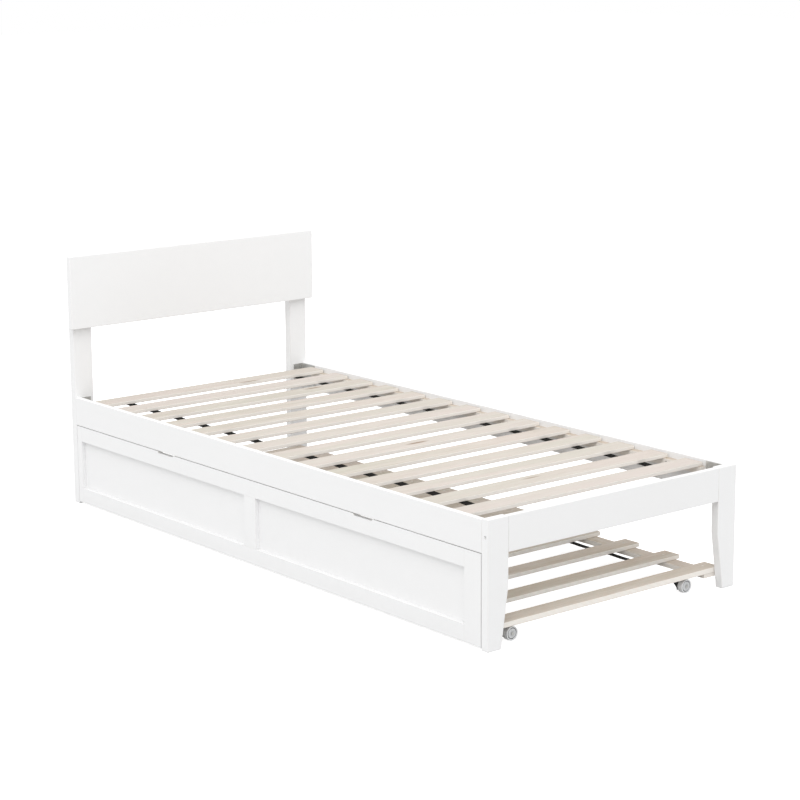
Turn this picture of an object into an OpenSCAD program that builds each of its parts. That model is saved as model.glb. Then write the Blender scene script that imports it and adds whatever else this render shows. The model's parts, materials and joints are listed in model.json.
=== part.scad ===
// Single bed on legs, with a slatted bed on wheels stored under it.
// +X runs from the head to the foot, +Z is up, and the lower bed rolls out towards -Y.
// The origin is on the floor, under the middle of the bed.

/* [Bed size] */
// Length from the back of the head posts to the front of the foot legs
bed_l = 2080; // [2070:2:2140]
// Width over the posts, legs and side rails
bed_w = 950; // [940:2:980]
// Height of the headboard
head_h = 830; // [780:5:930]
// Height of the foot end
foot_h = 362; // [360:1:400]

/* [Head end] */
// Width of a head post
post_w = 69; // [65:1:90]
// Thickness of a head post
post_t = 30; // [24:1:34]
// How far the posts stop short of the top of the panel
post_drop = 12; // [5:1:40]
// Height of the headboard panel
panel_h = 240; // [200:2:320]
// Thickness of the headboard panel
panel_t = 22; // [18:1:25]
// How far the panel stands past each post
panel_overhang = 18; // [0:1:40]

/* [Foot end] */
// Width of a foot leg
leg_w = 73; // [70:1:100]
// Thickness of a foot leg
leg_t = 26; // [24:1:32]
// Width of a foot leg at the floor
leg_toe_w = 48; // [40:1:70]
// Height at which the inner side of the leg begins to taper
leg_taper_h = 170; // [120:5:220]
// Height of the foot rail
foot_rail_h = 99; // [90:1:110]
// Thickness of the foot rail
foot_rail_t = 18; // [18:1:22]

/* [Side rails] */
// Height of a side rail
rail_h = 92; // [90:1:100]
// Thickness of a side rail
rail_t = 18; // [16:1:22]
// How far the side rails sit below the top of the foot end
rail_drop = 3; // [0:1:5]
// Width of a ledger, across the bed
ledger_w = 22; // [20:1:26]
// Height of a ledger
ledger_h = 20; // [18:1:26]

/* [Bed slats] */
// Number of slats in the bed
slat_n = 14; // [14:1:14]
// Width of a bed slat
slat_w = 70; // [50:1:80]
// Thickness of a bed slat
slat_t = 12; // [10:1:14]
// Distance from one bed slat to the next
slat_pitch = 139.2; // [136:0.2:139.4]
// Width of the webbing under the bed slats
strap_w = 30; // [20:1:40]

/* [Trundle] */
// Height of the top of the trundle slats
trundle_h = 60; // [60:1:62]
// Width of the slatted base behind the front
trundle_base_w = 898; // [850:1:900]
// Width of a trundle slat
trundle_slat_w = 61; // [50:1:64]
// Thickness of a trundle slat
trundle_slat_t = 13; // [12:1:14]
// Distance from one trundle slat to the next
trundle_pitch = 166; // [160:1:166]

/* [Trundle front] */
// Length of the panel nearer the head
panel_head_l = 922; // [900:1:950]
// Thickness of the framed front
front_t = 18; // [16:1:20]
// Gap between the front and the floor
front_gap_low = 7; // [5:1:12]
// Gap between the front and the side rail
front_gap_high = 2; // [2:1:6]
// Height of the top and bottom rails of the front
front_rail_h = 50; // [45:1:55]
// Depth of the two recessed panels
recess_d = 13; // [8:1:13]
// Length of a finger notch
notch_l = 90; // [60:1:110]
// Depth of a finger notch
notch_d = 6; // [5:1:12]

/* [Casters] */
// Radius of a wheel
wheel_r = 20; // [18:1:20]
// Thickness of a wheel
wheel_t = 17; // [12:1:18]

/* [Hidden] */
$fn = 64;
fit = 0.05;                   // clearance all round a pin, screw or bolt
ease = 2;                     // radius of an eased long edge
slot_gap = 2.5;                 // between the trundle front and the post or leg beside it

// Bed: planes of the frame
half_l = bed_l / 2;
half_w = bed_w / 2;
post_face = -half_l + post_t;                // face of the posts that the rails butt against
leg_face = half_l - leg_t;
rail_top = foot_h - rail_drop;
rail_low = rail_top - rail_h;
rail_in = half_w - rail_t;                   // inner face of a side rail
foot_rail_low = foot_h - foot_rail_h;
panel_low = head_h - panel_h;
leg_in = half_w - leg_w;
slat_low = rail_top - 7 - slat_t;            // slats lie 7 mm below the top of the rails
slat_shift = 11;
slat_first = -(slat_n - 1) * slat_pitch / 2 - slat_w / 2 - slat_shift;
slat_end_gap = 5;

// Corner brackets
bracket_t = 3;
bracket_rail_l = 74;
bracket_end_l = 38;
bracket_h = 78;
bracket_top = rail_top - 2;
bracket_rows = [bracket_top - 14, bracket_top - bracket_h + 14];
ledger_from = post_face + bracket_rail_l + 5;
ledger_to = leg_face - bracket_rail_l - 5;

// Webbing under the slats, in two rolls of slats on the bed
strap_t = 1.2;
strap_y = 343;
roll_n = slat_n / 2;

// Bed bolts
tenon_l = 12;
tenon_t = 8;
bolt_x = half_l - foot_rail_t + 7;
bolt_z = foot_h - foot_rail_h / 2;
bolt_r = 3;
bolt_head_r = 4.8;
bolt_head_l = 6;
bolt_sink = 9;
bolt_hole_r = 5.2;
nut_r = 5;
nut_l = 14;
nut_in = 30;                                 // from the shoulder of the rail to the barrel nut

// Screws
screw_r = 2.2;
screw_head_r = 4.2;
screw_l = 38;
screw_sink = 0.5;
short_screw_r = 1.8;
short_screw_head_r = 3.4;
short_screw_l = 24;
bracket_screw_l = 16;
caster_screw_l = 12;
trundle_slat_shift = 7;
strap_inset = 5;
head_screw_z = [for (k = [1:3]) panel_low + k * panel_h / 4];
ledger_screw_x = [for (k = [-2:2]) k * 400];

// Trundle: planes of the base and of the front
front_y = -half_w;
front_back = front_y + front_t;
front_from = post_face + slot_gap;
front_to = leg_face - slot_gap;
front_low = front_gap_low;
front_top = rail_low - front_gap_high;
trundle_mid = (front_from + front_to) / 2;
base_back = front_back + trundle_base_w;
trundle_slat_low = trundle_h - trundle_slat_t;
end_board_w = 58;
end_board_t = 16;
runner_w = 47;                               // the two boards that carry the slats
runner_t = 15;
runner_low = trundle_slat_low - runner_t;
back_runner_in = 12;                         // the rear one stands in from the slats' ends
back_runner_y = base_back - back_runner_in - runner_w;
runner_screw_sink = 20;
trundle_slat_n = 11;
runner_screw_x = [for (k = [-2:2]) k * 430 + 30];

// Trundle front: stiles and panels
stile_head_w = 25;
stile_mid_w = 58;
stile_foot_w = 67;
panel_head_x = front_from + stile_head_w;
stile_mid_x = panel_head_x + panel_head_l;
panel_foot_x = stile_mid_x + stile_mid_w;
panel_foot_l = front_to - stile_foot_w - panel_foot_x;
front_open_low = front_low + front_rail_h;
front_open_high = front_top - front_rail_h;
notch_x = [panel_head_x + panel_head_l / 2 + 38, panel_foot_x + panel_foot_l / 2 + 40];

// Trundle webbing
trundle_strap_w = 20;
trundle_strap_y = [-341, 323];

// Casters
axle_r = 3;
axle_head_r = 4.5;
caster_in = 17;                              // from the end of the base to the middle of a wheel
caster_y = [-354, 317.5];
plate_t = 2.5;
plate_w = 36;
plate_gap = 2.5;
flange_l = 28;

paint = "white";
bare_wood = "burlywood";
steel = "silver";
webbing = "black";
nylon = "lightgrey";

// ---- shared shapes ----

// Rectangle with rounded corners, from one corner to the other
module eased_rect(low, high, r = ease) {
  mid = (low + high) / 2;
  half = (high - low) / 2 - [r, r];
  polygon([for (c = [0:3], a = [0:30:90])
    mid + [(c == 0 || c == 3 ? half[0] : -half[0]), (c < 2 ? half[1] : -half[1])]
    + r * [cos(90 * c + a), sin(90 * c + a)]]);
}

// Boards between two corners, with the long edges eased
module board_x(low, high, r = ease) {
  translate([low[0], 0, 0]) rotate([90, 0, 90]) linear_extrude(high[0] - low[0])
    eased_rect([low[1], low[2]], [high[1], high[2]], r);
}

module board_y(low, high, r = ease) {
  translate([0, high[1], 0]) rotate([90, 0, 0]) linear_extrude(high[1] - low[1])
    eased_rect([low[0], low[2]], [high[0], high[2]], r);
}

module board_z(low, high, r = ease) {
  translate([0, 0, low[2]]) linear_extrude(high[2] - low[2])
    eased_rect([low[0], low[1]], [high[0], high[1]], r);
}

module block(low, high) {
  translate(low) cube(high - low);
}

// Points +Z at a direction along an axis of the model
module aim(at, dir) {
  turn = dir[0] != 0 ? [0, dir[0] > 0 ? 90 : -90, 0]
       : dir[1] != 0 ? [dir[1] > 0 ? -90 : 90, 0, 0]
       : [dir[2] > 0 ? 0 : 180, 0, 0];
  translate(at) rotate(turn) children();
}

// Countersunk screw driven along +Z from a surface at z = 0
module screw(l, r, head_r, sink = screw_sink, spare = 0) {
  translate([0, 0, sink]) {
    cylinder(h = l, r = r + spare);
    cylinder(h = head_r - r, r1 = head_r + spare, r2 = r + spare);
  }
  if (spare > 0) translate([0, 0, -1]) cylinder(h = sink + 1 + spare, r = head_r + spare);
}

module long_screw(spare = 0) {
  screw(screw_l, screw_r, screw_head_r, spare = spare);
}

module short_screw(spare = 0) {
  screw(short_screw_l, short_screw_r, short_screw_head_r, spare = spare);
}

module bracket_screw(spare = 0) {
  screw(bracket_screw_l, short_screw_r, short_screw_head_r, spare = spare);
}

module sunk_screw(spare = 0) {
  screw(screw_l, screw_r, screw_head_r, runner_screw_sink, spare);
}

// Repeats a shape on the front (-1) and rear (+1) side of the bed
module both_sides() {
  for (side = [-1, 1]) scale([1, side, 1]) children();
}

// ---- where the fixings are ----

module at_head_screws() {
  both_sides() for (z = head_screw_z) aim([-half_l, half_w - post_w / 2, z], [1, 0, 0]) children();
}

module at_ledger_screws() {
  both_sides() for (x = ledger_screw_x)
    aim([x, rail_in - ledger_w, slat_low - ledger_h / 2], [0, 1, 0]) children();
}

// One foot-end corner at +X +Y, repeated at all four corners
module at_corners() {
  for (side = [-1, 1]) {
    translate([leg_face, side * rail_in, 0]) scale([1, side, 1]) children();
    translate([post_face, side * rail_in, 0]) scale([-1, side, 1]) children();
  }
}

module at_bracket_screws() {
  at_corners() for (z = bracket_rows) {
    for (x = [22, bracket_rail_l - 10]) aim([-x, -bracket_t, z], [0, 1, 0]) children();
    aim([-bracket_t, -bracket_end_l + 12, z], [1, 0, 0]) children();
  }
}

module at_foot_bolts() {
  both_sides() aim([bolt_x, half_w, bolt_z], [0, -1, 0]) children();
}

module at_runner_screws() {
  for (x = runner_screw_x) aim([x, front_back + runner_w, runner_low + runner_t / 2], [0, -1, 0]) children();
}

module at_slat_screws(x) {
  for (y = [front_back, back_runner_y]) aim([x, y + runner_w / 2, trundle_h], [0, 0, -1]) children();
}

// Each caster in its own frame: X outwards, origin on the floor under the wheel
module at_caster(end, y) {
  translate([trundle_mid + end * (front_to - trundle_mid - caster_in), y, 0]) scale([end, 1, 1]) children();
}

module at_casters() {
  for (end = [-1, 1], y = caster_y) at_caster(end, y) children();
}

caster_screw_at = [-wheel_t / 2 - plate_gap - plate_t - flange_l + 9, plate_w / 2 - 9];

// ---- bed frame ----

module headboard_panel() {
  color(paint) difference() {
    board_y([post_face, -half_w - panel_overhang, panel_low],
            [post_face + panel_t, half_w + panel_overhang, head_h]);
    at_head_screws() long_screw(fit);
  }
}

module head_post(side) {
  color(paint) difference() {
    scale([1, side, 1]) board_z([-half_l, half_w - post_w, 0], [post_face, half_w, head_h - post_drop]);
    at_head_screws() long_screw(fit);
    at_bracket_screws() bracket_screw(fit);
  }
}

// Flat leg whose inner side narrows towards the floor
module foot_leg(side) {
  color(paint) difference() {
    scale([1, side, 1]) translate([leg_face, 0, 0]) rotate([90, 0, 90]) linear_extrude(leg_t) polygon([
      [half_w, 0], [half_w, foot_h], [leg_in, foot_h], [leg_in, leg_taper_h], [half_w - leg_toe_w, 0]
    ]);
    both_sides() tenon(fit);
    at_foot_bolts() bolt_hole();
    at_bracket_screws() bracket_screw(fit);
  }
}

// Stub tenon on the end of the foot rail, at the rear side
module tenon(spare = 0) {
  block([bolt_x - tenon_t / 2 - spare, leg_in - 1, foot_rail_low + 15 - spare],
        [bolt_x + tenon_t / 2 + spare, leg_in + tenon_l + spare, foot_h - 15 + spare]);
}

module bolt_hole() {
  translate([0, 0, -1]) cylinder(h = bolt_sink + bolt_head_l + 1, r = bolt_hole_r);
  cylinder(h = leg_w + nut_in + nut_r + 4, r = bolt_r + fit);
}

module foot_rail() {
  color(paint) difference() {
    union() {
      board_y([half_l - foot_rail_t, -leg_in, foot_rail_low], [half_l, leg_in, foot_h]);
      both_sides() tenon();
    }
    at_foot_bolts() bolt_hole();
    both_sides() translate([half_l - foot_rail_t - 1, leg_in - nut_in, bolt_z]) rotate([0, 90, 0])
      cylinder(h = nut_l + 2, r = nut_r + fit);
  }
}

module side_rail(side) {
  color(paint) difference() {
    scale([1, side, 1]) board_x([post_face, rail_in, rail_low], [leg_face, half_w, rail_top]);
    at_ledger_screws() long_screw(fit);
    at_bracket_screws() bracket_screw(fit);
  }
}

module slat_ledger(side) {
  color(bare_wood) difference() {
    scale([1, side, 1])
      board_x([ledger_from, rail_in - ledger_w, slat_low - ledger_h], [ledger_to, rail_in, slat_low], 1);
    at_ledger_screws() long_screw(fit);
  }
}

module bed_slat(k) {
  x = slat_first + (k - 1) * slat_pitch;
  end = rail_in - slat_end_gap;
  color(bare_wood) board_y([x, -end, slat_low], [x + slat_w, end, slat_low + slat_t]);
}

// Two rolls of slats, each on a front and a rear strap
module bed_slat_straps() {
  color(webbing) both_sides() for (roll = [0, 1]) {
    x = slat_first + roll * roll_n * slat_pitch;
    block([x + strap_inset, strap_y - strap_w / 2, slat_low - strap_t],
          [x + (roll_n - 1) * slat_pitch + slat_w - strap_inset, strap_y + strap_w / 2, slat_low]);
  }
}

module corner_brackets() {
  color(steel) difference() {
    at_corners() {
      block([-bracket_rail_l, -bracket_t, bracket_top - bracket_h], [0, 0, bracket_top]);
      block([-bracket_t, -bracket_end_l, bracket_top - bracket_h], [0, 0, bracket_top]);
    }
    at_bracket_screws() bracket_screw(fit);
  }
}

module bracket_screws() {
  color(steel) at_bracket_screws() bracket_screw();
}

module foot_rail_bolts() {
  color(steel) at_foot_bolts() translate([0, 0, bolt_sink]) {
    difference() {
      cylinder(h = bolt_head_l, r = bolt_head_r);
      translate([0, 0, -1]) cylinder(h = 4, r = 2.5, $fn = 6);
    }
    cylinder(h = leg_w + nut_in + nut_r - bolt_sink, r = bolt_r);
  }
}

module barrel_nuts() {
  color(steel) difference() {
    both_sides() translate([half_l - foot_rail_t + 1, leg_in - nut_in, bolt_z]) rotate([0, 90, 0])
      cylinder(h = nut_l, r = nut_r);
    at_foot_bolts() cylinder(h = half_w, r = bolt_r + fit);
  }
}

module frame_screws() {
  color(steel) {
    at_head_screws() long_screw();
    at_ledger_screws() long_screw();
  }
}

// ---- trundle front ----

module front_board(from, to, low, high) {
  block([from, front_y, low], [to, front_back, high]);
}

// Notch with sloping ends, cut down from the top edge
module finger_notch(x) {
  translate([x, front_back + 1, front_top]) rotate([90, 0, 0]) linear_extrude(front_t + 2) polygon([
    [-notch_l / 2, 1], [-notch_l / 2, 0], [-notch_l / 2 + notch_d, -notch_d],
    [notch_l / 2 - notch_d, -notch_d], [notch_l / 2, 0], [notch_l / 2, 1]
  ]);
}

module front_top_rail() {
  color(paint) difference() {
    front_board(front_from + stile_head_w, front_to - stile_foot_w, front_open_high, front_top);
    for (x = notch_x) finger_notch(x);
  }
}

module front_bottom_rail() {
  color(paint) difference() {
    front_board(front_from + stile_head_w, front_to - stile_foot_w, front_low, front_open_low);
    at_runner_screws() sunk_screw(fit);
  }
}

module front_stile_head() {
  color(paint) front_board(front_from, front_from + stile_head_w, front_low, front_top);
}

module front_stile_middle() {
  color(paint) front_board(stile_mid_x, stile_mid_x + stile_mid_w, front_open_low, front_open_high);
}

module front_stile_foot() {
  color(paint) front_board(front_to - stile_foot_w, front_to, front_low, front_top);
}

// Thin panels, flush with the back of the frame
module front_panels() {
  color(paint) for (p = [[panel_head_x, panel_head_l], [panel_foot_x, panel_foot_l]])
    block([p[0], front_y + recess_d, front_open_low], [p[0] + p[1], front_back, front_open_high]);
}

// ---- trundle base ----

// Board lying flat under the slats, from its near edge
module trundle_runner(y) {
  color(bare_wood) difference() {
    board_x([front_from + 2, y, runner_low], [front_to - 2, y + runner_w, trundle_slat_low], 1);
    end_board_laps();
    at_runner_screws() sunk_screw(fit);
    all_slat_screws() short_screw(fit);
  }
}

// The thicker end boards are let into the runners under them
module end_board_laps() {
  for (end = [-1, 1]) translate([trundle_mid, 0, 0]) scale([end, 1, 1])
    block([front_to - trundle_mid - end_board_w - 1, front_back - 1, trundle_h - end_board_t],
          [front_to - trundle_mid + 1, base_back, trundle_h]);
}

function end_board_x(end) = trundle_mid + end * (front_to - trundle_mid - end_board_w / 2);
function trundle_slat_x(k) =
  trundle_mid + (k - (trundle_slat_n + 1) / 2) * trundle_pitch - trundle_slat_shift;

module all_slat_screws() {
  for (end = [-1, 1]) at_slat_screws(end_board_x(end)) children();
  for (k = [1:trundle_slat_n]) at_slat_screws(trundle_slat_x(k)) children();
}

module trundle_end_board(end) {
  x = end_board_x(end);
  color(bare_wood) difference() {
    board_y([x - end_board_w / 2, front_back, trundle_h - end_board_t],
            [x + end_board_w / 2, base_back, trundle_h]);
    at_slat_screws(x) short_screw(fit);
    at_casters() caster_screws(fit);
  }
}

module trundle_slat(k) {
  x = trundle_slat_x(k);
  color(bare_wood) difference() {
    board_y([x - trundle_slat_w / 2, front_back, trundle_slat_low],
            [x + trundle_slat_w / 2, base_back, trundle_h]);
    at_slat_screws(x) short_screw(fit);
  }
}

module trundle_slat_straps() {
  from = trundle_slat_x(1) - trundle_slat_w / 2 + strap_inset;
  to = trundle_slat_x(trundle_slat_n) + trundle_slat_w / 2 - strap_inset;
  color(webbing) for (y = trundle_strap_y)
    block([from, y - trundle_strap_w / 2, trundle_slat_low - strap_t],
          [to, y + trundle_strap_w / 2, trundle_slat_low]);
}

module trundle_screws() {
  color(steel) {
    at_runner_screws() sunk_screw();
    all_slat_screws() short_screw();
    at_casters() caster_screws();
  }
}

// ---- casters ----

module caster_screws(spare = 0) {
  for (side = [-1, 1])
    aim([caster_screw_at[0], side * caster_screw_at[1], trundle_h - end_board_t - plate_t], [0, 0, 1])
      screw(caster_screw_l, short_screw_r, short_screw_head_r, 0, spare);
}

// Pressed angle: the flange is screwed under the end board and the plate carries the axle
module caster_brackets() {
  plate_x = -wheel_t / 2 - plate_gap;
  top = trundle_h - end_board_t;
  color(webbing) at_casters() difference() {
    union() {
      intersection() {
        block([plate_x - plate_t, -plate_w / 2, wheel_r - plate_w / 2 + 4], [plate_x, plate_w / 2, top]);
        translate([plate_x - plate_t, 0, wheel_r + plate_w]) rotate([0, 90, 0])
          cylinder(h = plate_t, r = plate_w + plate_w / 2 - 4);
      }
      block([plate_x - plate_t - flange_l, -plate_w / 2, top - plate_t], [plate_x, plate_w / 2, top]);
      for (side = [-1, 1]) scale([1, side, 1]) translate([0, plate_w / 2, 0]) rotate([90, 0, 0])
        linear_extrude(plate_t) polygon([
          [plate_x - plate_t - flange_l, top - plate_t], [plate_x - plate_t - flange_l + 6, top - 10],
          [plate_x - plate_t, wheel_r - 6], [plate_x - plate_t, top - plate_t]
        ]);
    }
    translate([plate_x - plate_t - 1, 0, wheel_r]) rotate([0, 90, 0])
      cylinder(h = plate_t + 2, r = axle_r + fit);
    caster_screws(fit);
  }
}

// Riveted behind the plate and headed outside the wheel
module caster_axles() {
  inner = -wheel_t / 2 - plate_gap - plate_t;
  color(steel) at_casters() translate([0, 0, wheel_r]) rotate([0, 90, 0]) {
    translate([0, 0, inner - 1.5]) cylinder(h = wheel_t / 2 - inner + 2, r = axle_r);
    translate([0, 0, inner - 2]) cylinder(h = 2, r = axle_head_r);
    translate([0, 0, -wheel_t / 2 - plate_gap]) cylinder(h = plate_gap - 0.3, r = axle_head_r);
    translate([0, 0, wheel_t / 2 + 0.3]) cylinder(h = 2, r = axle_head_r);
  }
}

// Solid wheel with a groove between the tread and the hub on its outer face
module caster_wheel(end, side) {
  color(nylon) at_caster(end, caster_y[side]) translate([0, 0, wheel_r]) rotate([0, 90, 0])
    rotate_extrude() polygon([
      [axle_r + fit, -wheel_t / 2], [wheel_r - 1.5, -wheel_t / 2], [wheel_r, -wheel_t / 2 + 1.5],
      [wheel_r, wheel_t / 2 - 1.5], [wheel_r - 1.5, wheel_t / 2], [wheel_r - 4, wheel_t / 2],
      [wheel_r - 4, wheel_t / 2 - 3], [wheel_r - 6, wheel_t / 2 - 3], [wheel_r - 6, wheel_t / 2],
      [axle_r + fit, wheel_t / 2]
    ]);
}

// ---- every sub-part, once ----

headboard_panel();
head_post(-1);  // head_post_front
head_post(1);  // head_post_rear
foot_leg(-1);  // foot_leg_front
foot_leg(1);  // foot_leg_rear
foot_rail();
side_rail(-1);  // side_rail_front
side_rail(1);  // side_rail_rear
slat_ledger(-1);  // slat_ledger_front
slat_ledger(1);  // slat_ledger_rear
bed_slat(1);  // bed_slat_01
bed_slat(2);  // bed_slat_02
bed_slat(3);  // bed_slat_03
bed_slat(4);  // bed_slat_04
bed_slat(5);  // bed_slat_05
bed_slat(6);  // bed_slat_06
bed_slat(7);  // bed_slat_07
bed_slat(8);  // bed_slat_08
bed_slat(9);  // bed_slat_09
bed_slat(10);  // bed_slat_10
bed_slat(11);  // bed_slat_11
bed_slat(12);  // bed_slat_12
bed_slat(13);  // bed_slat_13
bed_slat(14);  // bed_slat_14
bed_slat_straps();
corner_brackets();
bracket_screws();
foot_rail_bolts();
barrel_nuts();
frame_screws();
front_top_rail();
front_bottom_rail();
front_stile_head();
front_stile_middle();
front_stile_foot();
front_panels();
trundle_runner(front_back);  // trundle_runner_front
trundle_runner(back_runner_y);  // trundle_runner_rear
trundle_end_board(-1);  // trundle_end_board_head
trundle_end_board(1);  // trundle_end_board_foot
trundle_slat(1);  // trundle_slat_01
trundle_slat(2);  // trundle_slat_02
trundle_slat(3);  // trundle_slat_03
trundle_slat(4);  // trundle_slat_04
trundle_slat(5);  // trundle_slat_05
trundle_slat(6);  // trundle_slat_06
trundle_slat(7);  // trundle_slat_07
trundle_slat(8);  // trundle_slat_08
trundle_slat(9);  // trundle_slat_09
trundle_slat(10);  // trundle_slat_10
trundle_slat(11);  // trundle_slat_11
trundle_slat_straps();
trundle_screws();
caster_brackets();
caster_axles();
caster_wheel(1, 0);  // caster_wheel_foot_front
caster_wheel(1, 1);  // caster_wheel_foot_rear
caster_wheel(-1, 0);  // caster_wheel_head_front
caster_wheel(-1, 1);  // caster_wheel_head_rear
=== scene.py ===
import json
import math

import bpy
from mathutils import Euler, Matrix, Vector


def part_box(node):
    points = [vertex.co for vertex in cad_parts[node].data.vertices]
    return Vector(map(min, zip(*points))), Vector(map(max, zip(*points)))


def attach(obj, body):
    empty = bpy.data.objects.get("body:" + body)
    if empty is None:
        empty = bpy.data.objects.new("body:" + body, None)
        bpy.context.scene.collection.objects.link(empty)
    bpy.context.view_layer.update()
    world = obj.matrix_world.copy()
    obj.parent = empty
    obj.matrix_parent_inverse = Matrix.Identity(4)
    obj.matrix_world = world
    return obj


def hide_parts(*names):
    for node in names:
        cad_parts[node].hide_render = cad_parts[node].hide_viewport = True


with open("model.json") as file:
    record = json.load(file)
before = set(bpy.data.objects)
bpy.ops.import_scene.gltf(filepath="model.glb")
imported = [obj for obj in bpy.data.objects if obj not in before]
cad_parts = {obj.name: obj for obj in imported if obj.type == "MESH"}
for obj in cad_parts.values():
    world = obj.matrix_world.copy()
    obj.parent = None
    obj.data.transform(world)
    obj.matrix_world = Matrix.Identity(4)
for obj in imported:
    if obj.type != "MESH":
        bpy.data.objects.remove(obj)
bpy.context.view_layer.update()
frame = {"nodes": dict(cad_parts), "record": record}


# ---------------------------------------------------------------- headboard panel
# One wide board, planed square, its edges eased by a router, sprayed with white satin lacquer.
# The film is thin: the grain shows through as faint long ripples, with a fine spray texture over
# it and softer, greyer edges. Screws through the posts hold it from behind.

def group_tree(name, inputs, outputs):
    tree = bpy.data.node_groups.new(name, "ShaderNodeTree")
    for label, kind, value in inputs:
        tree.interface.new_socket(label, in_out="INPUT", socket_type=kind).default_value = value
    for label, kind in outputs:
        tree.interface.new_socket(label, in_out="OUTPUT", socket_type=kind)
    return tree, tree.nodes.new("NodeGroupInput").outputs, tree.nodes.new("NodeGroupOutput").inputs


def add(tree, kind, settings=None, **sockets):
    """A node with its settings, and its sockets by name (Scale=...) or by number (i0=...)."""
    node = tree.nodes.new(kind)
    for key, value in (settings or {}).items():
        setattr(node, key, value)
    for key, value in sockets.items():
        target = node.inputs[int(key[1:])] if key[1:].isdigit() else node.inputs[key.replace("_", " ")]
        if isinstance(value, bpy.types.NodeSocket):
            tree.links.new(value, target)
        else:
            target.default_value = value
    return node


def math_node(tree, operation, *values):
    sockets = {f"i{k}": value for k, value in enumerate(values)}
    return add(tree, "ShaderNodeMath", {"operation": operation}, **sockets).outputs[0]


def times(tree, a, b):
    return math_node(tree, "MULTIPLY", a, b)


def plus(tree, a, b):
    return math_node(tree, "ADD", a, b)


def scaled(tree, vector, by):
    return add(tree, "ShaderNodeVectorMath", {"operation": "MULTIPLY"}, i0=vector, i1=by).outputs[0]


def mix_colour(tree, factor, a, b):
    return add(tree, "ShaderNodeMix", {"data_type": "RGBA"}, i0=factor, i6=a, i7=b).outputs[2]


def ramp(tree, value, low, high):
    """0 at low, 1 at high."""
    return add(tree, "ShaderNodeMapRange", Value=value, From_Min=low, From_Max=high).outputs[0]


def spread(tree, value, low, high):
    """low at 0, high at 1."""
    return add(tree, "ShaderNodeMapRange", Value=value, To_Min=low, To_Max=high).outputs[0]


def noise(tree, place, scale, detail=2.0, roughness=0.5):
    node = add(tree, "ShaderNodeTexNoise", Vector=place, Scale=scale, Detail=detail, Roughness=roughness)
    return node.outputs[0]


def coordinates(tree, kind="Object"):
    return add(tree, "ShaderNodeTexCoord").outputs[kind]


def film_group():
    """Pale patches, ripples along the grain, spray texture and worn edges of any painted board."""
    tree, inside, out = group_tree(
        "sprayed_film",
        [("Along", "NodeSocketVector", (1, 1, 1)), ("Ripple", "NodeSocketFloat", 0.5),
         ("Grime", "NodeSocketFloat", 0.3)],
        [("Tone", "NodeSocketFloat"), ("Gloss", "NodeSocketFloat"), ("Height", "NodeSocketFloat"),
         ("Edge", "NodeSocketFloat")],
    )
    place = coordinates(tree)
    ripples = noise(tree, scaled(tree, place, inside["Along"]), 60.0, 4.0, 0.6)
    peel = noise(tree, place, 420.0)
    patchy = ramp(tree, noise(tree, place, 3.0, 5.0, 0.6), 0.35, 0.7)
    speckled = times(tree, ramp(tree, noise(tree, place, 1400.0, 0.0), 0.7, 0.8), 0.25)
    tree.links.new(plus(tree, times(tree, patchy, inside["Grime"]), speckled), out["Tone"])
    tree.links.new(plus(tree, patchy, times(tree, peel, 0.5)), out["Gloss"])
    height = plus(tree, times(tree, ripples, inside["Ripple"]), times(tree, peel, 0.35))
    tree.links.new(height, out["Height"])

    # An eased edge faces between two axes, so no part of its normal is near 1
    normal = coordinates(tree, "Normal")
    facing = add(tree, "ShaderNodeVectorMath", {"operation": "ABSOLUTE"}, i0=normal).outputs[0]
    parts = add(tree, "ShaderNodeSeparateXYZ", Vector=facing).outputs
    squarest = math_node(tree, "MAXIMUM", math_node(tree, "MAXIMUM", parts["X"], parts["Y"]), parts["Z"])
    tree.links.new(times(tree, ramp(tree, squarest, 0.98, 0.86), patchy), out["Edge"])
    return tree


sprayed_film = film_group()


def new_material(name):
    made = bpy.data.materials.new(name)
    made.use_nodes = True
    tree = made.node_tree
    shader = next(n for n in tree.nodes if n.type == "BSDF_PRINCIPLED")
    return made, tree, shader


def bump(tree, shader, height, distance, strength):
    node = add(tree, "ShaderNodeBump", Height=height, Distance=distance, Strength=strength)
    tree.links.new(node.outputs["Normal"], shader.inputs["Normal"])


def lacquer(name, along):
    made, tree, shader = new_material(name)
    film = add(tree, "ShaderNodeGroup", {"node_tree": sprayed_film}, Along=along, Ripple=0.6, Grime=0.35)
    white, off_white, bared = (0.840, 0.841, 0.843, 1), (0.812, 0.812, 0.809, 1), (0.66, 0.64, 0.60, 1)
    clean = mix_colour(tree, film.outputs["Tone"], white, off_white)
    worn = mix_colour(tree, times(tree, film.outputs["Edge"], 0.6), clean, bared)
    tree.links.new(worn, shader.inputs["Base Color"])
    tree.links.new(spread(tree, film.outputs["Gloss"], 0.36, 0.52), shader.inputs["Roughness"])
    shader.inputs["Specular IOR Level"].default_value = 0.4
    bump(tree, shader, film.outputs["Height"], 0.00015, 0.5)
    return made


# The ripples run the way of the board
lacquer_x = lacquer("white_lacquer_long", (0.06, 1, 1))
lacquer_y = lacquer("white_lacquer_across", (1, 0.06, 1))
lacquer_z = lacquer("white_lacquer_upright", (1, 1, 0.06))

BOARD_EASE = 0.0016
PANEL_EASE = 0.0025


def select_only(piece):
    bpy.ops.object.select_all(action="DESELECT")
    bpy.context.view_layer.objects.active = piece
    piece.select_set(True)


def apply_all(piece):
    select_only(piece)
    for modifier in list(piece.modifiers):
        bpy.ops.object.modifier_apply(modifier=modifier.name)


def finish_piece(piece, material):
    select_only(piece)
    bpy.ops.object.shade_smooth_by_angle(angle=math.radians(35))
    flat = piece.modifiers.new("flat_faces", "WEIGHTED_NORMAL")
    flat.keep_sharp = True
    apply_all(piece)
    piece.data.materials.clear()
    piece.data.materials.append(material)


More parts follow.
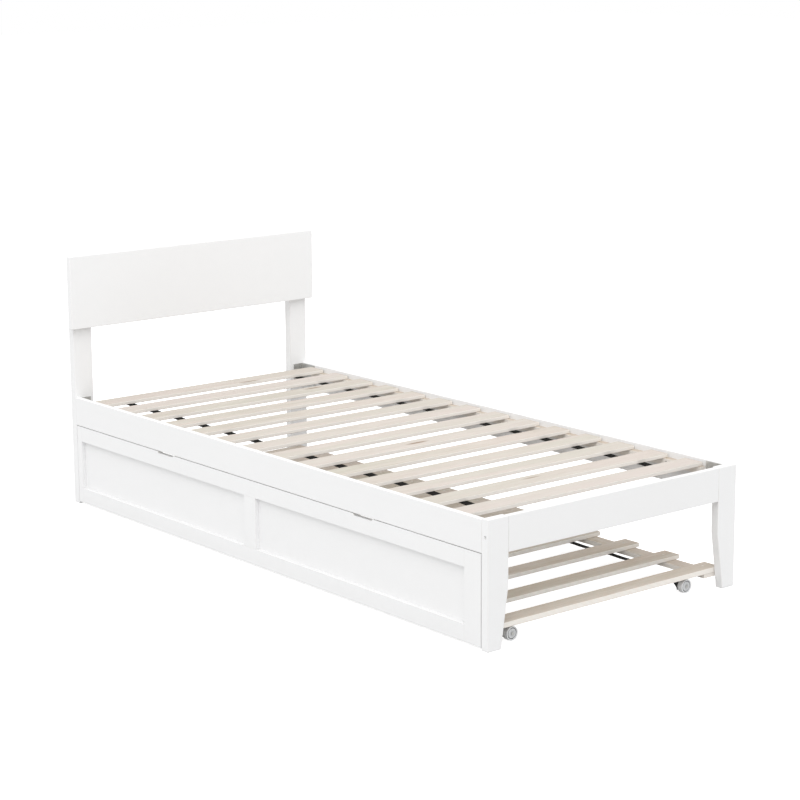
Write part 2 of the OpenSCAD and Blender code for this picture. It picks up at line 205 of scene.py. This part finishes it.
def block(name, low, high):
    low, high = Vector(low), Vector(high)
    bpy.ops.object.select_all(action="DESELECT")
    bpy.ops.mesh.primitive_cube_add(size=1, location=(low + high) / 2)
    piece = bpy.context.object
    piece.name = name
    piece.scale = high - low
    bpy.ops.object.transform_apply(location=True, rotation=True, scale=True)
    return piece


def round_edges(piece, radius, segments=4):
    eased = piece.modifiers.new("eased", "BEVEL")
    eased.width = radius
    eased.segments = segments
    eased.limit_method = "ANGLE"
    eased.angle_limit = math.radians(25)
    apply_all(piece)


def board(name, node, material, radius=BOARD_EASE):
    low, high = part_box(node)
    piece = block(name, low, high)
    round_edges(piece, radius)
    finish_piece(piece, material)
    return piece


def belongs(piece, body, slot, *nodes):
    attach(piece, body)
    if nodes:
        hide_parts(*nodes)


panel = board("painted_headboard_panel", "headboard_panel", lacquer_y, PANEL_EASE)
belongs(panel, "bed_frame", "white_paint", "headboard_panel")


# ---------------------------------------------------------------- foot legs
# Two flat painted boards whose inner side narrows to the floor. A bolt goes in through each
# leg's outer edge, at the bottom of a round hole, and draws the foot rail up against the leg.

LEG_EASE = 1.3 * BOARD_EASE
TAPER_HEIGHT = 0.170
TAPER_TOE = 0.025
BOLT_HOLE_RADIUS = 0.0050
BOLT_HOLE_DEPTH = 0.0050


def cut_round(piece, mouth, radius, depth):
    """A round hole along Y, as deep as depth from its mouth."""
    bpy.ops.object.select_all(action="DESELECT")
    across = Vector((0, 0, 1)).rotation_difference(Vector((0, 1, 0))).to_euler()
    bpy.ops.mesh.primitive_cylinder_add(vertices=48, radius=radius, depth=2 * depth,
                                        location=mouth, rotation=across)
    cutter = bpy.context.object
    hole = piece.modifiers.new("hole", "BOOLEAN")
    hole.operation = "DIFFERENCE"
    hole.solver = "EXACT"
    hole.object = cutter
    apply_all(piece)
    bpy.data.objects.remove(cutter)


def painted_leg(side):
    node = f"foot_leg_{side}"
    low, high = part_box(node)
    outward = -1 if side == "front" else 1
    inner, outer = (high.y, low.y) if side == "front" else (low.y, high.y)
    piece = block(f"painted_{node}", low, high)
    bpy.ops.object.mode_set(mode="EDIT")
    bpy.ops.mesh.select_all(action="SELECT")
    bpy.ops.mesh.bisect(plane_co=(0, 0, TAPER_HEIGHT), plane_no=(0, 0, 1))
    bpy.ops.object.mode_set(mode="OBJECT")
    for v in piece.data.vertices:
        v.select = v.co.z < low.z + 0.001 and abs(v.co.y - inner) < 0.001
    for e in piece.data.edges:
        e.select = all(piece.data.vertices[i].select for i in e.vertices)
    for f in piece.data.polygons:
        f.select = False
    bpy.ops.object.mode_set(mode="EDIT")
    bpy.ops.transform.translate(value=(0, outward * TAPER_TOE, 0))
    bpy.ops.object.mode_set(mode="OBJECT")
    round_edges(piece, LEG_EASE)
    bolt_low, bolt_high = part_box("foot_rail_bolts")
    bolt = (bolt_low + bolt_high) / 2
    cut_round(piece, (bolt.x, outer, bolt.z), BOLT_HOLE_RADIUS, BOLT_HOLE_DEPTH)
    finish_piece(piece, lacquer_z)
    belongs(piece, "bed_frame", "white_paint", node)


painted_leg("front")
painted_leg("rear")


# ---------------------------------------------------------------- foot rail and side rails
# Painted boards on edge. The foot rail's tenons are out of sight in the legs, so only the length
# between the legs is made here. The side rails butt between the posts and the legs.

legs_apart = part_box("foot_leg_rear")[0].y
low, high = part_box("foot_rail")
foot_rail = block("painted_foot_rail", (low.x, -legs_apart, low.z), (high.x, legs_apart, high.z))
round_edges(foot_rail, BOARD_EASE)
finish_piece(foot_rail, lacquer_y)
belongs(foot_rail, "bed_frame", "white_paint", "foot_rail")

for side in ("front", "rear"):
    side_rail = board(f"painted_side_rail_{side}", f"side_rail_{side}", lacquer_x)
    belongs(side_rail, "bed_frame", "white_paint", f"side_rail_{side}")


# ---------------------------------------------------------------- head posts
# Two straight painted posts, square to the floor, that stand behind the panel and carry it.

for side in ("front", "rear"):
    post = board(f"painted_head_post_{side}", f"head_post_{side}", lacquer_z)
    belongs(post, "bed_frame", "white_paint", f"head_post_{side}")


# ---------------------------------------------------------------- slats, ledgers and runners
# Planed softwood with no finish: cream with fine darker fibres, a few knots, and a slightly
# different tone in every piece. The trundle's and the rails' wood carries darker streaks, partly
# weathering and partly painted shade from lying under the bed. The upright sides of every piece
# are painted paler than the flat faces, as painted light, the trundle's the most.

def wood_group():
    tree, inside, out = group_tree(
        "planed_softwood",
        [("Grain", "NodeSocketVector", (0, 0, 0)), ("Piece", "NodeSocketFloat", 0.0),
         ("Knots", "NodeSocketFloat", 1.0), ("Age", "NodeSocketFloat", 0.0)],
        [("Color", "NodeSocketColor"), ("Roughness", "NodeSocketFloat"), ("Height", "NodeSocketFloat")],
    )
    piece = inside["Piece"]
    shift = add(tree, "ShaderNodeCombineXYZ", X=times(tree, piece, 7.3), Y=times(tree, piece, 11.9), Z=piece)
    here = add(tree, "ShaderNodeVectorMath", {"operation": "ADD"}, i0=inside["Grain"], i1=shift.outputs[0])
    here = here.outputs[0]
    wander = add(tree, "ShaderNodeTexNoise", Vector=here, Scale=1.6, Detail=2.0).outputs[1]
    bent = add(tree, "ShaderNodeVectorMath", {"operation": "MULTIPLY_ADD"},
               i0=wander, i1=(0.9, 0.0, 0.9), i2=here).outputs[0]
    bands = {"wave_type": "BANDS", "bands_direction": "X", "wave_profile": "SAW"}
    rings = add(tree, "ShaderNodeTexWave", bands, Vector=bent, Scale=1.1, Distortion=2.5, Detail=2.0)
    rings = rings.outputs[1]
    fibre = noise(tree, scaled(tree, here, (4.0, 1.6, 4.0)), 2.2, 4.0, 0.7)
    knot_place = scaled(tree, here, (0.45, 1.1, 0.45))
    knot_far = add(tree, "ShaderNodeTexVoronoi", {"feature": "F1"}, Vector=knot_place, Scale=0.55)
    knot = times(tree, ramp(tree, knot_far.outputs["Distance"], 0.10, 0.045), inside["Knots"])

    # From the ground colour up: broad bands, pink and green drift, rings, fibres, tone, weathering with
    # painted shade, knots
    broad = ramp(tree, noise(tree, bent, 1.3, 4.0, 0.62), 0.3, 0.72)
    ground = mix_colour(tree, broad, (0.610, 0.585, 0.530, 1), (0.440, 0.400, 0.345, 1))
    drift = ramp(tree, noise(tree, here, 0.35, 3.0), 0.38, 0.62)
    tint = mix_colour(tree, drift, (0.650, 0.560, 0.530, 1), (0.545, 0.555, 0.480, 1))
    tinted = mix_colour(tree, 0.5, ground, tint)
    ringed = mix_colour(tree, times(tree, rings, 0.22), tinted, (0.52, 0.42, 0.30, 1))
    fibres = times(tree, ramp(tree, fibre, 0.45, 0.7), 0.55)
    fibred = mix_colour(tree, fibres, ringed, (0.42, 0.35, 0.27, 1))
    toned = mix_colour(tree, times(tree, piece, 0.55), fibred, (0.62, 0.565, 0.535, 1))
    # Darker streaks, partly weathering and partly painted shade for wood that lies under the bed
    weather_shade_streak = times(tree, ramp(tree, fibre, 0.3, 0.65), inside["Age"])
    weathered_and_shaded = mix_colour(tree, weather_shade_streak, toned, (0.46, 0.37, 0.27, 1))
    knotted = mix_colour(tree, times(tree, knot, 0.75), weathered_and_shaded, (0.22, 0.13, 0.07, 1))
    tree.links.new(knotted, out["Color"])
    tree.links.new(spread(tree, fibre, 0.62, 0.82), out["Roughness"])
    tree.links.new(plus(tree, fibre, times(tree, rings, 0.4)), out["Height"])
    return tree


planed_softwood = wood_group()
# The bed's slats and the trundle's lie in different storeys, so their tones differ too
STOREY = 0.2
RAIL_SPACING = 0.2
# Paler colours for the upright sides of the wood: painted light on those faces
SLAT_SIDES_PAINTED_LIGHT = (0.90, 0.86, 0.81, 1)
TRUNDLE_SIDES_PAINTED_LIGHT = (0.92, 0.89, 0.84, 1)


def bare_wood(name, stretch, across, spacing, knots=1.0, age=0.0, sides=SLAT_SIDES_PAINTED_LIGHT):
    """Wood whose pieces lie spacing apart along the axis named across; each gets its own tone."""
    made, tree, shader = new_material(name)
    place = coordinates(tree)
    quarter_turn = (0, 0, math.radians(90)) if across == "Y" else (0, 0, 0)
    grain = add(tree, "ShaderNodeMapping", {"vector_type": "POINT"},
                Vector=place, Scale=stretch, Rotation=quarter_turn).outputs[0]
    parts = add(tree, "ShaderNodeSeparateXYZ", Vector=place).outputs
    number = math_node(tree, "FLOOR", math_node(tree, "DIVIDE", parts[across], spacing))
    storey = math_node(tree, "FLOOR", math_node(tree, "DIVIDE", parts["Z"], STOREY))
    seed = plus(tree, number, times(tree, storey, 31.0))
    tone = add(tree, "ShaderNodeTexWhiteNoise", {"noise_dimensions": "1D"}, W=seed).outputs[0]
    wood = add(tree, "ShaderNodeGroup", {"node_tree": planed_softwood},
               Grain=grain, Piece=tone, Knots=knots, Age=age).outputs
    # Upright faces are mixed towards the paler side colour: painted light on the sides of every piece
    facing = add(tree, "ShaderNodeSeparateXYZ", Vector=coordinates(tree, "Normal")).outputs
    side_light_mask = ramp(tree, math_node(tree, "ABSOLUTE", facing["Z"]), 0.9, 0.3)
    coloured = mix_colour(tree, times(tree, side_light_mask, 0.8), wood["Color"], sides)
    tree.links.new(coloured, shader.inputs["Base Color"])
    tree.links.new(wood["Roughness"], shader.inputs["Roughness"])
    shader.inputs["Specular IOR Level"].default_value = 0.3
    bump(tree, shader, wood["Height"], 0.00025, 0.6)
    return made


def pitch_of(kind):
    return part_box(f"{kind}_02")[0].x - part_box(f"{kind}_01")[0].x


def dress(node, material):
    piece = frame["nodes"][node]
    piece.data.materials.clear()
    piece.data.materials.append(material)


slat_wood = bare_wood("bare_wood_slats", (45, 3.2, 45), "X", pitch_of("bed_slat"))
# The trundle's and the rails' darker streaks are partly painted shade from lying under the bed
trundle_wood = bare_wood("bare_wood_trundle", (45, 3.2, 45), "X", pitch_of("trundle_slat"),
                         age=0.6, sides=TRUNDLE_SIDES_PAINTED_LIGHT)
rail_wood = bare_wood("bare_wood_rails", (3.2, 45, 45), "Y", RAIL_SPACING, knots=0.6, age=0.6)

for node in frame["nodes"]:
    if node.endswith("_straps"):
        continue
    if node.startswith("bed_slat_"):
        dress(node, slat_wood)
    elif node.startswith(("trundle_slat_", "trundle_end_board")):
        dress(node, trundle_wood)
    elif node.startswith(("slat_ledger", "trundle_runner")):
        dress(node, rail_wood)


# ---------------------------------------------------------------- slat tapes
# Black woven tape, stapled under the slats, keeps them at their spacing and lets a set be rolled
# up. The bed has two sets of seven slats and the trundle one set of eleven. The tape sags a
# little between one slat and the next.

TAPE_INSET = 0.005
TAPE_SAG = 0.0014
TAPE_EASE = 0.0004
BED_TAPE_WIDTH = 0.030
TRUNDLE_TAPE_WIDTH = 0.020


def woven_tape():
    made, tree, shader = new_material("woven_black_tape")
    place = coordinates(tree)
    warp = add(tree, "ShaderNodeTexWave", {"wave_type": "BANDS", "bands_direction": "Y"},
               Vector=place, Scale=190.0, Distortion=0.4).outputs[1]
    weft = add(tree, "ShaderNodeTexWave", {"wave_type": "BANDS", "bands_direction": "DIAGONAL"},
               Vector=place, Scale=150.0, Distortion=0.6).outputs[1]
    weave = times(tree, warp, weft)
    fuzz = noise(tree, place, 90.0, 4.0)
    black, faded = (0.004, 0.0038, 0.0036, 1), (0.030, 0.026, 0.022, 1)
    tree.links.new(mix_colour(tree, times(tree, weave, fuzz), black, faded), shader.inputs["Base Color"])
    tree.links.new(spread(tree, fuzz, 0.78, 0.95), shader.inputs["Roughness"])
    shader.inputs["Specular IOR Level"].default_value = 0.12
    bump(tree, shader, weave, 0.0004, 0.8)
    return made


tape_cloth = woven_tape()


def tape(name, body, kind, first, last, y_low, y_high):
    """Tape under the slats first to last of the bed or the trundle, between two places across."""
    low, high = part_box(f"{kind}_straps")
    slat_from, slat_to = (corner.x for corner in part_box(f"{kind}_{first:02d}"))
    slat_width, pitch = slat_to - slat_from, pitch_of(kind)
    start, end = slat_from + TAPE_INSET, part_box(f"{kind}_{last:02d}")[1].x - TAPE_INSET
    bpy.ops.object.select_all(action="DESELECT")
    bpy.ops.mesh.primitive_grid_add(x_subdivisions=150, y_subdivisions=6, size=1,
                                    location=((start + end) / 2, (y_low + y_high) / 2, high.z))
    piece = bpy.context.object
    piece.name = name
    piece.scale = (end - start, y_high - y_low, 1)
    bpy.ops.object.transform_apply(location=True, rotation=True, scale=True)
    for v in piece.data.vertices:
        past_slat = (v.co.x - slat_from) % pitch - slat_width
        v.co.z -= TAPE_SAG * math.sin(math.pi * max(0.0, past_slat / (pitch - slat_width))) ** 2
    thick = piece.modifiers.new("woven", "SOLIDIFY")
    thick.thickness = high.z - low.z
    thick.offset = -1
    apply_all(piece)
    round_edges(piece, TAPE_EASE, 2)
    finish_piece(piece, tape_cloth)
    belongs(piece, body, "webbing")
    return piece


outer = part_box("bed_slat_straps")[1].y
inner = outer - BED_TAPE_WIDTH
bed_tapes = [
    tape(f"tape_{roll}_{side}", "bed_frame", "bed_slat", first, last, y_low, y_high)
    for roll, first, last in (("head", 1, 7), ("foot", 8, 14))
    for side, y_low, y_high in (("front", -outer, -inner), ("rear", inner, outer))
]
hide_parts("bed_slat_straps")

low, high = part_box("trundle_slat_straps")
trundle_tapes = [
    tape(f"trundle_tape_{side}", "trundle", "trundle_slat", 1, 11, y_low, y_low + TRUNDLE_TAPE_WIDTH)
    for side, y_low in (("front", low.y), ("rear", high.y - TRUNDLE_TAPE_WIDTH))
]
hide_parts("trundle_slat_straps")


# ---------------------------------------------------------------- brackets, bolts and screws
# The corner brackets, bolts, nuts, screws and wheel pins are zinc-plated steel, with the soft
# cloudy sheen that plating has.

def metal(name, pale, dark, rough, metallic, grain):
    made, tree, shader = new_material(name)
    place = coordinates(tree)
    cloud = noise(tree, place, 60.0, 5.0, 0.65)
    fine = noise(tree, place, grain)
    coat = mix_colour(tree, ramp(tree, cloud, 0.35, 0.7), pale, dark)
    tree.links.new(coat, shader.inputs["Base Color"])
    sheen = spread(tree, plus(tree, cloud, times(tree, fine, 0.4)), rough - 0.08, rough + 0.12)
    tree.links.new(sheen, shader.inputs["Roughness"])
    shader.inputs["Metallic"].default_value = metallic
    bump(tree, shader, fine, 0.0001, 0.4)
    return made


zinc = metal("zinc_plate", (0.70, 0.70, 0.68, 1), (0.52, 0.52, 0.51, 1), 0.42, 1.0, 700.0)
for node in ("corner_brackets", "bracket_screws", "foot_rail_bolts", "barrel_nuts", "frame_screws",
             "trundle_screws", "caster_axles"):
    dress(node, zinc)


# ---------------------------------------------------------------- trundle front
# A frame of rails and stiles with two thin panels set back in it, all sprayed as one. The top
# rail has two long finger notches for pulling the trundle out.

FRONT_EASE = 0.0008
PANEL_FIT_EASE = 0.0003
NOTCH_LENGTH = 0.090
NOTCH_DEPTH = 0.006

for node, finish in (
    ("front_bottom_rail", lacquer_x), ("front_stile_head", lacquer_z),
    ("front_stile_middle", lacquer_z), ("front_stile_foot", lacquer_z),
):
    piece = board(f"painted_{node}", node, finish, FRONT_EASE)
    belongs(piece, "trundle", "white_paint", node)


def notched_rail():
    low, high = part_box("front_top_rail")
    piece = block("painted_front_top_rail", low, high)
    top, bottom = NOTCH_LENGTH / 2, NOTCH_LENGTH / 2 - NOTCH_DEPTH
    for opening in frame["record"]["physics"]["openings"]:
        if not opening["name"].startswith("finger_notch"):
            continue
        middle = (opening["box_m"][0][0] + opening["box_m"][1][0]) / 2
        for x in (-top, -bottom, bottom, top):
            bpy.ops.object.mode_set(mode="EDIT")
            bpy.ops.mesh.select_all(action="SELECT")
            bpy.ops.mesh.bisect(plane_co=(middle + x, 0, 0), plane_no=(1, 0, 0))
            bpy.ops.object.mode_set(mode="OBJECT")
        for v in piece.data.vertices:
            if v.co.z > high.z - 0.0001 and abs(v.co.x - middle) < bottom + 0.0001:
                v.co.z -= NOTCH_DEPTH
    round_edges(piece, FRONT_EASE)
    finish_piece(piece, lacquer_x)
    belongs(piece, "trundle", "white_paint", "front_top_rail")


def recessed_panel(name, before, after):
    low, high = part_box("front_panels")
    piece = block(name, (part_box(before)[1].x, low.y, low.z), (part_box(after)[0].x, high.y, high.z))
    round_edges(piece, PANEL_FIT_EASE, 2)
    finish_piece(piece, lacquer_x)
    belongs(piece, "trundle", "white_paint")
    return piece


notched_rail()
head_panel = recessed_panel("painted_front_panel_head", "front_stile_head", "front_stile_middle")
recessed_panel("painted_front_panel_foot", "front_stile_middle", "front_stile_foot")
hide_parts("front_panels")


# ---------------------------------------------------------------- casters
# Four fixed casters, each a moulded nylon wheel that turns on a steel pin in a pressed bracket
# under black powder coat. A narrow groove, painted near black as painted shade, parts the pale
# tread from the grey hub.

# Each step in from the rim: how far the face narrows, and how far it then moves into the wheel
WHEEL_STEPS = [
    (0.0034, 0.0), (0.0006, 0.0022), (0.0018, 0.0), (0.0006, -0.0016), (0.0070, 0.0), (0.0010, 0.0008),
]
WHEEL_EASE = 0.0004
# The groove's rims, as shares of the wheel's radius
GROOVE_FROM = 0.70
GROOVE_TO = 0.80

powder = metal("black_powder_coat", (0.014, 0.014, 0.015, 1), (0.008, 0.008, 0.009, 1), 0.6, 0.0, 900.0)
dress("caster_brackets", powder)


def nylon():
    made, tree, shader = new_material("moulded_nylon")
    place = coordinates(tree)
    cloud = ramp(tree, noise(tree, place, 120.0, 4.0), 0.3, 0.75)
    scuffs = noise(tree, place, 500.0, 3.0)
    share = add(tree, "ShaderNodeAttribute", {"attribute_name": "radius_share"}).outputs["Fac"]
    hub = mix_colour(tree, cloud, (0.66, 0.67, 0.68, 1), (0.54, 0.55, 0.56, 1))
    tread = mix_colour(tree, cloud, (0.84, 0.85, 0.86, 1), (0.74, 0.75, 0.76, 1))
    moulded = mix_colour(tree, math_node(tree, "GREATER_THAN", share, GROOVE_TO), hub, tread)
    # The groove is painted near black: painted shade in the recess between tread and hub
    past_hub = math_node(tree, "GREATER_THAN", share, GROOVE_FROM)
    groove_shade_mask = times(tree, past_hub, math_node(tree, "LESS_THAN", share, GROOVE_TO))
    groove_painted_shade = mix_colour(tree, groove_shade_mask, moulded, (0.05, 0.05, 0.052, 1))
    tree.links.new(groove_painted_shade, shader.inputs["Base Color"])
    tree.links.new(spread(tree, scuffs, 0.35, 0.6), shader.inputs["Roughness"])
    bump(tree, shader, scuffs, 0.0001, 0.3)
    return made


wheel_nylon = nylon()


def moulded_wheel(node):
    low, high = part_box(node)
    centre, radius = (low + high) / 2, (high.z - low.z) / 2
    bpy.ops.object.select_all(action="DESELECT")
    bpy.ops.mesh.primitive_cylinder_add(vertices=96, radius=radius, depth=high.x - low.x,
                                        location=centre, rotation=(0, math.radians(90), 0))
    piece = bpy.context.object
    piece.name = f"moulded_{node}"
    bpy.ops.object.transform_apply(location=True, rotation=True, scale=True)
    for side in (-1, 1):
        bpy.ops.object.mode_set(mode="EDIT")
        bpy.ops.mesh.select_all(action="DESELECT")
        bpy.ops.object.mode_set(mode="OBJECT")
        for f in piece.data.polygons:
            f.select = f.normal.x * side > 0.9
        bpy.ops.object.mode_set(mode="EDIT")
        bpy.ops.mesh.select_mode(type="FACE")
        for narrower, inward in WHEEL_STEPS:
            bpy.ops.mesh.inset(thickness=narrower)
            bpy.ops.transform.translate(value=(-side * inward, 0, 0))
        bpy.ops.mesh.select_mode(type="VERT")
        bpy.ops.object.mode_set(mode="OBJECT")
    round_edges(piece, WHEEL_EASE, 2)
    share = piece.data.attributes.new("radius_share", "FLOAT", "POINT")
    for v in piece.data.vertices:
        share.data[v.index].value = math.hypot(v.co.y - centre.y, v.co.z - centre.z) / radius
    finish_piece(piece, wheel_nylon)
    belongs(piece, node.replace("caster_", ""), "wheel_nylon", node)


for node in [n for n in frame["nodes"] if n.startswith("caster_wheel")]:
    moulded_wheel(node)


# ---------------------------------------------------------------- studio
# A white sweep, an even white sky, a soft sun from the side and a wash of light on the
# headboard, so the bed shows almost no shadow.

def white_sweep():
    made, tree, shader = new_material("white_sweep")
    shader.inputs["Base Color"].default_value = (0.66, 0.66, 0.66, 1)
    shader.inputs["Roughness"].default_value = 0.9
    shader.inputs["Specular IOR Level"].default_value = 0.0
    shader.inputs["Emission Color"].default_value = (1, 1, 1, 1)
    seen = add(tree, "ShaderNodeLightPath").outputs["Is Camera Ray"]
    tree.links.new(times(tree, seen, 0.8), shader.inputs["Emission Strength"])
    return made


bpy.ops.object.select_all(action="DESELECT")
bpy.ops.mesh.primitive_plane_add(size=60, location=(0, 0, -0.0005))
sweep = bpy.context.object
sweep.name = "studio_floor"
sweep.data.materials.append(white_sweep())

world = bpy.data.worlds.new("studio")
bpy.context.scene.world = world
world.use_nodes = True
sky = next(n for n in world.node_tree.nodes if n.type == "BACKGROUND")
sky.inputs["Color"].default_value = (1, 1, 1, 1)
sky.inputs["Strength"].default_value = 1.0


def hang(name, data, towards_light):
    """A light that shines from the side that towards_light points to."""
    lamp = bpy.data.objects.new(name, data)
    lamp.rotation_euler = Vector(towards_light).to_track_quat("Z", "Y").to_euler()
    bpy.context.scene.collection.objects.link(lamp)
    return lamp


sun_data = bpy.data.lights.new("high_sun", "SUN")
sun_data.energy = 1.0
sun_data.angle = math.radians(40)
hang("high_sun", sun_data, (0.38, -0.48, 0.79))

wash_data = bpy.data.lights.new("headboard_wash", "AREA")
wash_data.energy = 6.0
wash_data.size = 1.4
wash = hang("headboard_wash", wash_data, (1.75, 0, 1.5))
wash.location = (0.7, 0, 2.1)
wash.visible_camera = False

# The lens is set by its focal length in widths of an 800-wide frame
FOCAL_WIDTHS = 2231.0 / 800
camera_data = bpy.data.cameras.new("camera")
camera_data.sensor_width = 36
camera_data.lens = FOCAL_WIDTHS * camera_data.sensor_width
camera = bpy.data.objects.new("camera", camera_data)
azimuth, elevation, roll = math.radians(50.781), math.radians(12.025), math.radians(-0.325)
camera.location = (5.2408, -4.1967, 1.8779)
level = math.cos(elevation)
back = Vector((math.sin(azimuth) * level, -math.cos(azimuth) * level, math.sin(elevation)))
turn = (-back).to_track_quat("-Z", "Y").to_matrix() @ Euler((0, 0, roll)).to_matrix()
camera.rotation_euler = turn.to_euler()
bpy.context.scene.collection.objects.link(camera)
bpy.context.scene.camera = camera
bpy.context.scene.view_settings.view_transform = "Standard"
